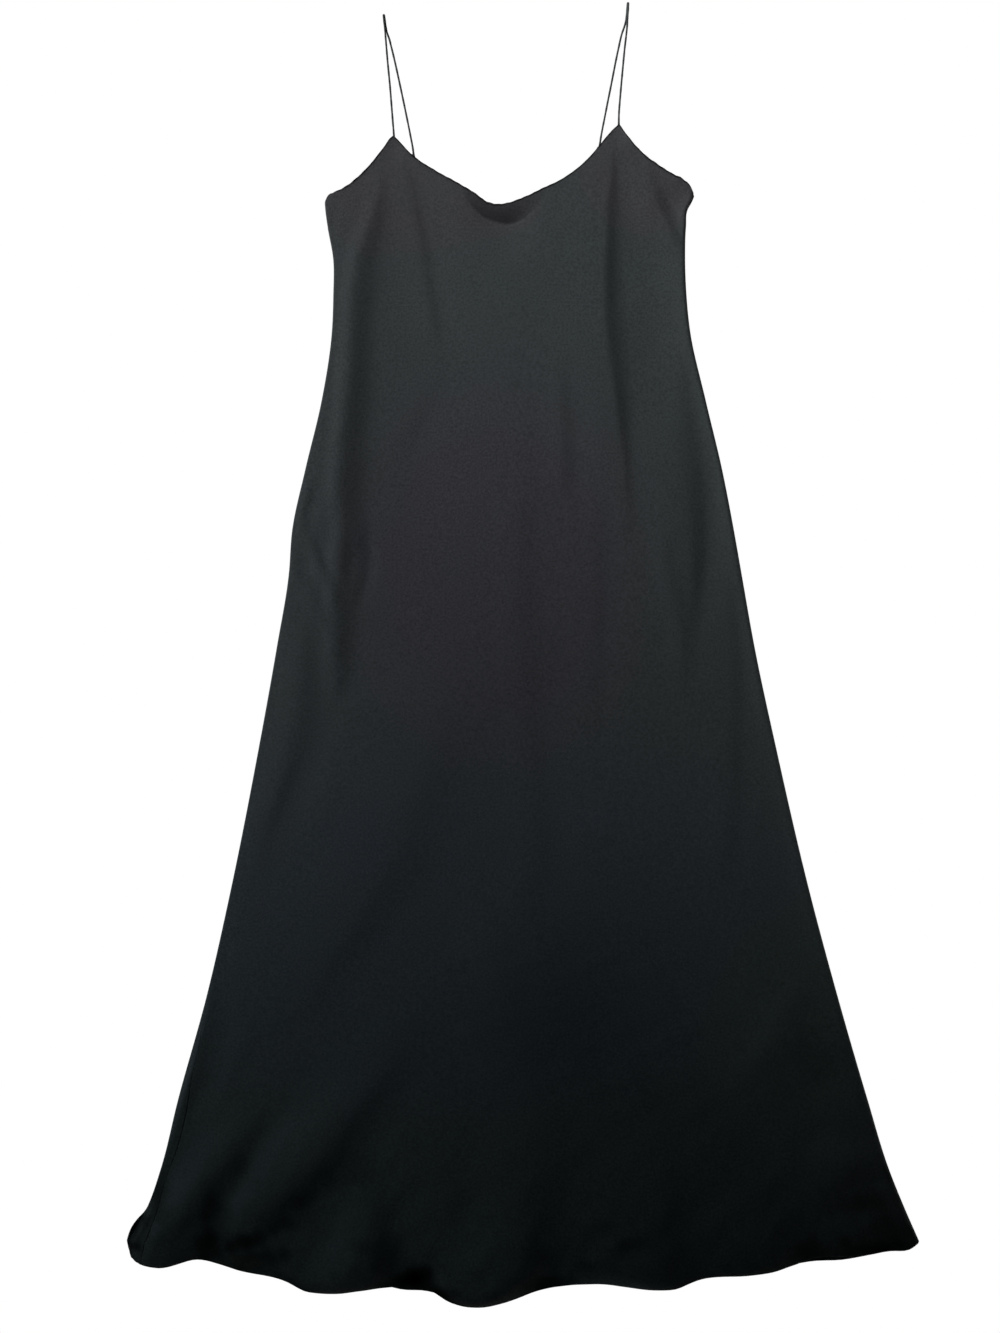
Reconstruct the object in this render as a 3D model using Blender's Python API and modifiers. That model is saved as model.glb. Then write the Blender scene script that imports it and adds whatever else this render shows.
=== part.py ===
"""Slip dress laid flat with its front up: a front and a back panel, and two thin shoulder straps.

The dress lies on the XY plane. +Y runs from the hem to the straps, +Z points up from the surface,
and the origin is on the surface, at the middle of the dress. Sizes in this file are millimetres,
and the objects are made in metres.
"""

import math
from collections import namedtuple

import bmesh
import bpy
import numpy as np

METRES = 0.001

# Cloth
WALL = 1.2  # crepe with its turned edges, as one wall
SEAM_GAP = 0.3  # left between pieces that are sewn together
BACK_LAYER = WALL / 2  # height of the back panel's middle surface
FRONT_LAYER = WALL + SEAM_GAP + WALL / 2  # the same for the front panel, where it lies flat
LOFT = 2.5  # air under the middle of the front panel
LOFT_FADE = 110.0  # distance below the top edge where the air reaches its full height

# Straps: a round rouleau that starts at the front panel's point, folds back on itself at the
# shoulder, and ends at the back panel's point
STRAP_DIAMETER = 2.0
STRAP_ON_FLOOR = STRAP_DIAMETER / 2 + 0.15
STRAP_POINT_STEP = 6.0
STRAP_FOLD_RADIUS = (STRAP_DIAMETER + SEAM_GAP) / 2
STRAP_FOLD_STEPS = 6

# Side edges of both panels, from the hem up to the underarms
Side = namedtuple("Side", "y left right")
SIDES = (
    Side(-657, -442, 443.5),
    Side(-617, -420.5, 426),
    Side(-577, -406.5, 410),
    Side(-499, -387, 386),
    Side(-387, -356, 353.5),
    Side(-264, -328, 320.5),
    Side(-107, -297, 284),
    Side(10, -276, 259),
    Side(89, -263, 245),
    Side(140, -259, 236),
    Side(207, -244.5, 223),
    Side(285, -226, 204.5),
    Side(363, -214.5, 187),
    Side(403, -213, 183),
    Side(442, -213, 181.5),
    Side(480, -219.5, 182.5),
    Side(499, -222, 184.5),
    Side(507, -222.5, 189),
    Side(513, -222, 191.5),
)
UNDERARM = SIDES[-1]
HEM_CORNER = SIDES[0]

# Top edges, as x and y from the left underarm to the left point, along the neckline to the right
# point, and down to the right underarm
TopEdge = namedtuple("TopEdge", "left_armhole neckline right_armhole")
FRONT_TOP = TopEdge(
    left_armhole=(
        (-222, 506), (-219, 513), (-213, 517), (-204, 521), (-178, 541), (-161, 561), (-152, 575),
        (-145, 581),
    ),
    neckline=(
        (-145, 581), (-133, 570), (-107, 547), (-62, 521), (-36, 505), (-27, 503), (-18, 504),
        (18, 519.5), (54, 539), (72, 554.5), (99, 587), (107, 595),
    ),
    right_armhole=(
        (107, 595), (117, 580), (127, 567.5), (145, 552), (164, 539.5), (179, 531), (187, 523),
        (191.5, 513),
    ),
)
BACK_TOP = TopEdge(
    left_armhole=((-222, 504), (-213, 513), (-168, 531), (-141, 548), (-123, 562.3)),
    neckline=(
        (-123, 562.3), (-112, 545), (-83, 517), (-26, 488), (33, 512), (73, 548), (86, 573.3),
    ),
    right_armhole=((86, 573.3), (99, 560), (130, 538), (159, 524), (186, 519), (191.5, 511)),
)

# Hem edges, as x and y from the left corner to the right one
FRONT_HEM = (
    (-442, -661), (-440, -671), (-435, -677), (-424, -682), (-402, -686.5), (-357, -678),
    (-335, -683), (-313, -690), (-260, -702), (-238, -713), (-222, -715), (-153, -709),
    (-113, -709), (-98, -713), (-80, -724), (-64, -729), (-45, -730), (-20, -725), (24, -711),
    (85, -705), (150, -711.5), (170, -711), (200, -700), (255, -695), (280, -691.5),
    (300, -685), (326, -676), (370, -674), (410, -668), (433, -665.5), (443.5, -658),
)
BACK_HEM = (
    (-442, -662), (-440, -671), (-434, -678), (-423, -682), (-402, -680), (-357, -673),
    (-295, -694), (-240, -698), (-156, -707), (-134, -712), (-111, -713), (-85, -718),
    (-51, -712), (41, -701), (130, -699), (220, -689), (290, -686), (326, -680), (359, -678.5),
    (382, -674.5), (427, -664), (443.5, -658),
)
# The back panel's hem corner rolls out past the front's side edge, at the left
HEM_ROLL_Y = -646
HEM_ROLL_HALF = 27
HEM_ROLL_REACH = 7

# Folds of the front panel. Each is a ridge that runs through three places, x and y, with its own
# width on each side of the crest and its rise at those places. A ridge that reaches the hem keeps
# its rise there, as a flute
Fold = namedtuple("Fold", "name top middle foot left_width right_width rises")
FOLDS = (
    Fold("left_bust", (-160, 530), (-202, 300), (-196, 10), 22, 50, (0, 6, 0)),
    Fold("left_hip", (-250, 190), (-228, 100), (-205, 10), 14, 20, (0, 3, 0)),
    Fold("left_apron", (-110, 20), (-150, -190), (-250, -420), 60, 70, (0, 2.5, 0)),
    Fold("centre", (-5, 200), (2, 60), (4, -120), 36, 24, (0, 1.5, 0)),
    Fold("right_bust", (98, 590), (92, 400), (120, 120), 30, 34, (0, 5, 0)),
    Fold("right_underarm", (140, 560), (156, 503), (178, 420), 12, 18, (2, 3, 0)),
    Fold("right_side", (156, 350), (182, 150), (168, -60), 30, 32, (0, 4.5, 0)),
    Fold("right_skirt", (238, 60), (236, -90), (226, -260), 26, 26, (0, 2, 0)),
    Fold("hem_corner_left", (-395, -500), (-408, -600), (-424, -690), 16, 26, (0, 3, 5)),
    Fold("hem_flute_1", (-215, -440), (-300, -590), (-380, -690), 40, 40, (0, 6, 9)),
    Fold("hem_flute_2", (-130, -420), (-205, -600), (-226, -720), 44, 44, (0, 6, 10)),
    Fold("hem_flute_3", (-30, -400), (-50, -600), (-50, -735), 55, 62, (0, 7, 12)),
    Fold("hem_flute_4", (105, -440), (135, -600), (153, -715), 60, 50, (0, 4, 8)),
    Fold("hem_flute_5", (190, -450), (228, -600), (262, -700), 42, 42, (0, 3, 6)),
    Fold("hem_flute_6", (310, -420), (362, -580), (398, -675), 46, 38, (0, 4, 7)),
)

# The neckline sinks back behind a soft lip, a small cowl. The lip's line, as x and y, and the
# lip's rise and widths below and above that line
COWL_LIP = ((-66, 513), (-51, 496), (-27, 485), (-10, 480), (7, 487), (22, 508))
COWL_MIDDLE = -20
COWL_HALF = 62
COWL_RISE = 4.0
COWL_BELOW = 30
COWL_ABOVE = 9


def point_shares(top):
    """The shares of the width at a top edge's left and right points."""
    width = UNDERARM.right - UNDERARM.left
    return [(point[0] - UNDERARM.left) / width for point in (top.neckline[0], top.neckline[-1])]


# Grids: a column or row number, and the share of the width or height that it stands at. A column
# stands on each of the panel's points, and columns are close together near the sides
FRONT_LEFT_POINT, FRONT_RIGHT_POINT = point_shares(FRONT_TOP)
BACK_LEFT_POINT, BACK_RIGHT_POINT = point_shares(BACK_TOP)
FRONT_COLUMNS = (
    (0, 0.0), (1, 0.003), (2, 0.01), (3, 0.023), (4, 0.045), (10, FRONT_LEFT_POINT),
    (36, FRONT_RIGHT_POINT), (42, 0.955), (43, 0.98), (44, 0.992), (45, 1.0),
)
FRONT_ROWS = ((0, 0.0), (12, 0.2), (30, 0.87), (34, 0.93), (44, 1.0))
BACK_COLUMNS = (
    (0, 0.0), (1, 0.003), (2, 0.01), (3, 0.023), (4, 0.045), (9, BACK_LEFT_POINT),
    (27, BACK_RIGHT_POINT), (32, 0.98), (33, 0.992), (34, 1.0),
)
BACK_ROWS = ((0, 0.0), (6, 0.05), (9, 0.12), (24, 0.92), (30, 1.0))

# The straps' routes: where the fold at the shoulder is, the side that the back leg lies on, and
# the places that each leg passes on its way from its panel to the fold, as x, y and z
Strap = namedtuple("Strap", "name fold_x fold_y back_side front_leg back_leg")
STRAPS = (
    Strap(
        "strap_left", -156.1, 715.2, 1,
        front_leg=(
            (-145.0, 581.9, 2.1), (-146.2, 597, 1.6), (-147.4, 612, STRAP_ON_FLOOR),
            (-149.4, 637, STRAP_ON_FLOOR), (-152.0, 664, STRAP_ON_FLOOR),
            (-154.0, 688, STRAP_ON_FLOOR),
        ),
        back_leg=(
            (-123.0, 563.1, STRAP_ON_FLOOR), (-126.8, 583, STRAP_ON_FLOOR),
            (-137.9, 637, STRAP_ON_FLOOR), (-145.2, 670, STRAP_ON_FLOOR),
            (-148.8, 684, STRAP_ON_FLOOR), (-151.6, 692, STRAP_ON_FLOOR),
        ),
    ),
    Strap(
        "strap_right", 117.2, 728.6, -1,
        front_leg=(
            (107.0, 595.9, 2.1), (107.2, 606, 1.6), (108.4, 622, STRAP_ON_FLOOR),
            (111.5, 657, STRAP_ON_FLOOR), (113.6, 679, STRAP_ON_FLOOR),
            (116.1, 702, STRAP_ON_FLOOR),
        ),
        back_leg=(
            (86.0, 574.1, STRAP_ON_FLOOR), (92.8, 610, STRAP_ON_FLOOR),
            (98.2, 637, STRAP_ON_FLOOR), (106.2, 677, STRAP_ON_FLOOR),
            (110.6, 696, STRAP_ON_FLOOR), (113.8, 706, STRAP_ON_FLOOR),
        ),
    ),
)

# Finish: black matte crepe
CREPE_COLOUR = (0.013, 0.014, 0.016, 1.0)
CREPE_ROUGHNESS = 0.62


def clear_scene():
    for obj in list(bpy.data.objects):
        bpy.data.objects.remove(obj, do_unlink=True)


def smooth(points):
    """A smooth function through (at, value) points, level beyond both ends."""
    at, value = np.array(sorted(points), float).T
    slope = np.gradient(value, at)

    def curve(x):
        x = np.clip(x, at[0], at[-1])
        low = np.clip(np.searchsorted(at, x, side="right") - 1, 0, len(at) - 2)
        step = at[low + 1] - at[low]
        t = (x - at[low]) / step
        rise = t * t * (3 - 2 * t)
        leave = step * slope[low] * t * (1 - t) ** 2
        arrive = step * slope[low + 1] * t * t * (t - 1)
        return value[low] * (1 - rise) + value[low + 1] * rise + leave + arrive

    return curve


def bell(distance):
    """1 at distance 0, falling smoothly to 0 at distance 1 and beyond, on both sides."""
    return 0.5 + 0.5 * np.cos(math.pi * np.clip(distance, -1, 1))


LEFT_EDGE = smooth([(side.y, side.left) for side in SIDES])
RIGHT_EDGE = smooth([(side.y, side.right) for side in SIDES])


def rolled_left_edge(y):
    """The left edge with the rolled corner at the hem."""
    return LEFT_EDGE(y) - HEM_ROLL_REACH * bell((y - HEM_ROLL_Y) / HEM_ROLL_HALF)


def top_height(edge, x):
    """The top edge's y at x: two armholes and a neckline that meet in sharp points."""
    left, middle, right = (smooth(stretch)(x) for stretch in edge)
    in_neckline = (x >= edge.neckline[0][0]) & (x <= edge.neckline[-1][0])
    return np.where(in_neckline, middle, np.where(x < edge.neckline[0][0], left, right))


def fold_rise(fold, x, y):
    places = (fold.foot, fold.middle, fold.top)
    crest = smooth([(place[1], place[0]) for place in places])(y)
    rise = smooth([(place[1], height) for place, height in zip(places, reversed(fold.rises))])(y)
    across = x - crest
    width = np.where(across < 0, fold.left_width, fold.right_width)
    return rise * bell(across / width)


def cowl_rise(x, y):
    above_lip = y - smooth(COWL_LIP)(x)
    width = np.where(above_lip < 0, COWL_BELOW, COWL_ABOVE)
    return COWL_RISE * bell((x - COWL_MIDDLE) / COWL_HALF) * bell(above_lip / width)


def front_relief(x, y, share):
    """How far the front panel stands above the height where it lies flat on the back panel."""
    below_top = top_height(FRONT_TOP, x) - y
    loft = LOFT * np.sin(math.pi * share) * (1 - bell(below_top / LOFT_FADE))
    return loft + sum(fold_rise(fold, x, y) for fold in FOLDS) + cowl_rise(x, y)


def flat(x, y, share):
    return np.zeros_like(x)


Panel = namedtuple("Panel", "name columns rows left_edge hem top relief layer")
PANELS = (
    Panel(
        "front_panel", FRONT_COLUMNS, FRONT_ROWS, LEFT_EDGE, FRONT_HEM, FRONT_TOP,
        relief=front_relief, layer=FRONT_LAYER,
    ),
    Panel(
        "back_panel", BACK_COLUMNS, BACK_ROWS, rolled_left_edge, BACK_HEM, BACK_TOP,
        relief=flat, layer=BACK_LAYER,
    ),
)


def black_crepe(name):
    material = bpy.data.materials.new(name)
    material.use_nodes = True
    shader = material.node_tree.nodes["Principled BSDF"]
    shader.inputs["Base Color"].default_value = CREPE_COLOUR
    shader.inputs["Roughness"].default_value = CREPE_ROUGHNESS
    shader.inputs["Metallic"].default_value = 0.0
    return material


def add_object(name, data, collection, frame):
    obj = bpy.data.objects.new(name, data)
    data.materials.append(black_crepe(name + "_crepe"))
    collection.objects.link(obj)
    obj.parent = frame
    return obj


def panel_places(panel, across, up):
    """x, y and z for grid places that run from 0 to 1 across the panel and up it."""
    share = np.interp(across * panel.columns[-1][0], *zip(*panel.columns))
    height = np.interp(up * panel.rows[-1][0], *zip(*panel.rows))
    hem_x = HEM_CORNER.left + share * (HEM_CORNER.right - HEM_CORNER.left)
    top_x = UNDERARM.left + share * (UNDERARM.right - UNDERARM.left)
    hem_y = smooth(panel.hem)(hem_x)
    y = hem_y + height * (top_height(panel.top, top_x) - hem_y)
    left = panel.left_edge(y)
    x = left + share * (RIGHT_EDGE(y) - left)
    return np.stack([x, y, panel.relief(x, y, share)], axis=1)


def make_panel(panel, collection, frame):
    """A grid laid out to the panel's outline and folds, thickened to the cloth's wall."""
    grid = bmesh.new()
    columns, rows = panel.columns[-1][0], panel.rows[-1][0]
    bmesh.ops.create_grid(grid, x_segments=columns, y_segments=rows, size=0.5)
    across, up = np.array([vert.co[:2] for vert in grid.verts]).T + 0.5
    for vert, place in zip(grid.verts, panel_places(panel, across, up) * METRES):
        vert.co = place
    mesh = bpy.data.meshes.new(panel.name)
    grid.to_mesh(mesh)
    grid.free()
    mesh.shade_smooth()
    sheet = add_object(panel.name, mesh, collection, frame)
    sheet.location.z = panel.layer * METRES
    wall = sheet.modifiers.new("wall", "SOLIDIFY")
    wall.thickness = WALL * METRES
    wall.offset = 0


def points_along(places, step):
    """Points about a step apart on a smooth curve through the places."""
    places = np.array(places, float)
    lengths = np.linalg.norm(np.diff(places, axis=0), axis=1)
    at = np.concatenate([[0], np.cumsum(lengths)])
    stops = np.linspace(0, at[-1], round(at[-1] / step) + 1)
    return np.stack([smooth(list(zip(at, axis)))(stops) for axis in places.T], axis=1)


def strap_points(strap):
    """Up the front leg, round the fold at the shoulder and down the back leg."""
    turns = [math.pi * step / STRAP_FOLD_STEPS for step in range(STRAP_FOLD_STEPS + 1)]
    fold = [
        (
            strap.fold_x - strap.back_side * STRAP_FOLD_RADIUS * math.cos(turn),
            strap.fold_y + STRAP_FOLD_RADIUS * math.sin(turn),
            STRAP_ON_FLOOR,
        )
        for turn in turns
    ]
    up = points_along(strap.front_leg + (fold[0],), STRAP_POINT_STEP)
    down = points_along(strap.back_leg + (fold[-1],), STRAP_POINT_STEP)[::-1]
    return np.concatenate([up, fold[1:-1], down]) * METRES


def make_strap(strap, collection, frame):
    curve = bpy.data.curves.new(strap.name, "CURVE")
    curve.dimensions = "3D"
    curve.bevel_depth = STRAP_DIAMETER / 2 * METRES
    curve.bevel_resolution = 2
    curve.use_fill_caps = True
    points = strap_points(strap)
    spline = curve.splines.new("POLY")
    spline.points.add(len(points) - 1)
    for target, place in zip(spline.points, points):
        target.co = (*place, 1.0)
    add_object(strap.name, curve, collection, frame)


def main():
    clear_scene()
    collection = bpy.data.collections.new("slip_dress")
    bpy.context.scene.collection.children.link(collection)
    frame = bpy.data.objects.new("slip_dress", None)
    collection.objects.link(frame)
    for panel in PANELS:
        make_panel(panel, collection, frame)
    for strap in STRAPS:
        make_strap(strap, collection, frame)


main()
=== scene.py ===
"""Looks of the slip dress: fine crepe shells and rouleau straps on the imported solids.

The dress lies on the floor with its front up, seen from above. +Y runs from the hem to the straps.
Tables are in millimetres, and the objects are made in metres.
"""

import math
from collections import namedtuple

import bmesh
import bpy
import numpy as np
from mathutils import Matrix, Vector


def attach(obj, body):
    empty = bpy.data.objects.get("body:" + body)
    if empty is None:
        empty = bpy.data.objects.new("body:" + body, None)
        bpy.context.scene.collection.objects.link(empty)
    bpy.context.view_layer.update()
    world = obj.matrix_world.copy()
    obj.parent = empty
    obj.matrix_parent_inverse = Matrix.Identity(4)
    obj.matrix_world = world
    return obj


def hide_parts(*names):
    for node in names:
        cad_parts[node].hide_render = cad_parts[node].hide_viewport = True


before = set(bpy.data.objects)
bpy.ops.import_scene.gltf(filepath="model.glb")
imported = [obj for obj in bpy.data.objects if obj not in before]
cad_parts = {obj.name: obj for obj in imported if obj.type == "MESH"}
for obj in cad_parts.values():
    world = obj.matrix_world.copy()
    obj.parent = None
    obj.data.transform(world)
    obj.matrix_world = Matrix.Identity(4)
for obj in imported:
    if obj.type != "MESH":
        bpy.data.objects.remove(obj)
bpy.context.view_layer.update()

METRES = 0.001

# Cloth: the dress lies 2.7 mm thick at its sides, which are rounded
CLOTH = 0.5  # thickness of the shells
SIDE_RADIUS = 1.35
SIDE_ARC = SIDE_RADIUS * math.pi / 2
FRONT_TOP_Z = 2 * SIDE_RADIUS
LOFT = 3.4  # air under the front, and over what distance it grows from the left and right side
LOFT_LEFT = 34.0
LOFT_RIGHT = 1.5
RELIEF_STARTS = 8.0  # distance from a side edge where the folds reach their full height
LOWEST_RELIEF = -1.5
FACING_UP = 0.999  # least z of the normal where the cloth is the top of the dress, not its side
POINT_HELD = 20.0  # distance from a strap where the front lies flat
HEM_SWELL = 1.2  # the front rises towards its hem, and rolls down at the hem itself
HEM_SWELL_AT = 38.0
HEM_SWELL_HALF = 64.0
HEM_ROLL = 0.6
HEM_ROLL_FADE = 9.0
RUMPLE = 0.12  # height of the soft uneven rumples, and how much higher they are at the hem
RUMPLE_HEM = 1.1
RUMPLE_FADE = 140.0
RUMPLE_SCALE = 13.0
RUMPLE_SLANT = (3, 4)  # they slant by one part in these, along x and along y
RUMPLE_FINE = 0.6  # share of a second set of rumples, and how much finer it is
RUMPLE_FINER = 2
RUMPLE_SEEDS = (0.7, 2.1)
TURN = 1.2  # thickness of a turned edge
SEAM_GAP = 0.03  # half the gap at a side seam, how deep the seam lies, and its half width
SEAM_DIP = 0.06
SEAM_WIDTH = 0.7

# Uneven values are sums of a few sines: the way that each one runs, as shares of x and y, and how
# much finer each one gets and how far its start moves on, counted from the first
WAVES = ((1.0, 0.31), (-0.53, 0.87), (0.41, -1.13), (1.37, 0.59))
WAVE_FINER = 0.37
WAVE_START = 1.7

# Side edges of both panels, from the hem up to the underarms
Side = namedtuple("Side", "y left right")
SIDES = (
    Side(-657, -442, 443.5),
    Side(-617, -420.5, 426),
    Side(-577, -406.5, 410),
    Side(-499, -387, 386),
    Side(-387, -356, 353.5),
    Side(-264, -328, 320.5),
    Side(-107, -297, 284),
    Side(10, -276, 259),
    Side(89, -263, 245),
    Side(140, -259, 236),
    Side(207, -244.5, 223),
    Side(285, -226, 204.5),
    Side(363, -214.5, 187),
    Side(403, -213, 183),
    Side(442, -213, 181.5),
    Side(480, -219.5, 182.5),
    Side(499, -222, 184.5),
    Side(507, -222.5, 189),
    Side(513, -222, 191.5),
)
UNDERARM = SIDES[-1]
HEM_CORNER = SIDES[0]

# Top edges, as x and y from the left underarm to the left point, along the neckline to the right
# point, and down to the right underarm
TopEdge = namedtuple("TopEdge", "left_armhole neckline right_armhole")
FRONT_TOP = TopEdge(
    left_armhole=(
        (-222, 506), (-219, 513), (-213, 517), (-204, 521), (-178, 541), (-161, 561), (-154, 570.5),
        (-149, 578.5), (-145, 582),
    ),
    neckline=(
        (-145, 582), (-140, 577), (-134.5, 570.5), (-128, 562.8), (-120.5, 556.3), (-111, 549),
        (-102, 543.5), (-62, 521), (-36, 505), (-27, 503), (-18, 504),
        (18, 519.5), (54, 539), (72, 554.5), (99, 587), (107, 595),
    ),
    right_armhole=(
        (107, 595), (117, 580), (127, 567.5), (145, 552), (164, 539.5), (179, 531), (187, 523),
        (191.5, 513),
    ),
)
BACK_TOP = TopEdge(
    left_armhole=((-222, 504), (-213, 513), (-168, 531), (-141, 548), (-123, 562.3)),
    neckline=(
        (-123, 562.3), (-112, 545), (-83, 517), (-26, 488), (33, 512), (73, 548), (86, 573.3),
    ),
    right_armhole=((86, 573.3), (99, 560), (130, 538), (159, 524), (186, 519), (191.5, 511)),
)

# Hem edges, as x and y from the left corner to the right one
FRONT_HEM = (
    (-442, -661), (-440, -671), (-435, -677), (-424, -682), (-402, -686.5), (-357, -678),
    (-335, -683), (-313, -690), (-260, -702), (-238, -713), (-222, -715), (-153, -709),
    (-113, -709), (-98, -713), (-80, -724), (-64, -729), (-45, -730), (-20, -725), (24, -711),
    (85, -705), (150, -711.5), (170, -711), (200, -700), (255, -695), (280, -691.5),
    (300, -685), (326, -676), (370, -674), (410, -668), (433, -665.5), (443.5, -658),
)
BACK_HEM = (
    (-442, -662), (-440, -671), (-434, -678), (-423, -682), (-402, -680), (-357, -673),
    (-295, -694), (-240, -698), (-156, -707), (-134, -712), (-111, -713), (-85, -718),
    (-51, -712), (41, -701), (130, -699), (220, -689), (290, -686), (326, -680), (359, -678.5),
    (382, -674.5), (427, -664), (443.5, -658),
)

# The left side seam rolls onto the front towards the hem: its distance in from the left edge
SEAM_ROLL = (
    (-340, 0), (-387, 2), (-400, 4.5), (-433, 7.5), (-472, 10), (-509, 14), (-552, 13.4),
    (-584, 10.5), (-610, 12.3), (-631, 16), (-657, 20), (-684, 13),
)
# Below the roll the back curls out past the front at the hem corner. How far it curls out, as y and
# share, and its whole section from the top of the edge round to the floor, as x from the edge and z
CURL_REACH = (
    (-620, 0), (-626, 0.26), (-631, 0.58), (-641, 0.84), (-652, 0.6), (-658, 0.36), (-667, 0.1),
    (-675, 0),
)
CURL_SECTION = (
    (1.35, 2.7), (0.6, 2.5), (0.1, 2.0), (0.5, 1.4), (0.2, 1.0), (-1.3, 1.1), (-3.0, 1.8),
    (-4.7, 2.5), (-6.0, 2.7), (-6.8, 2.1), (-7.0, 1.3), (-6.7, 0.5), (-6.0, 0.1), (-4.5, 0.0),
)
CURL_UNDER = 30  # distance under the back where the curl's pull has faded

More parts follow.
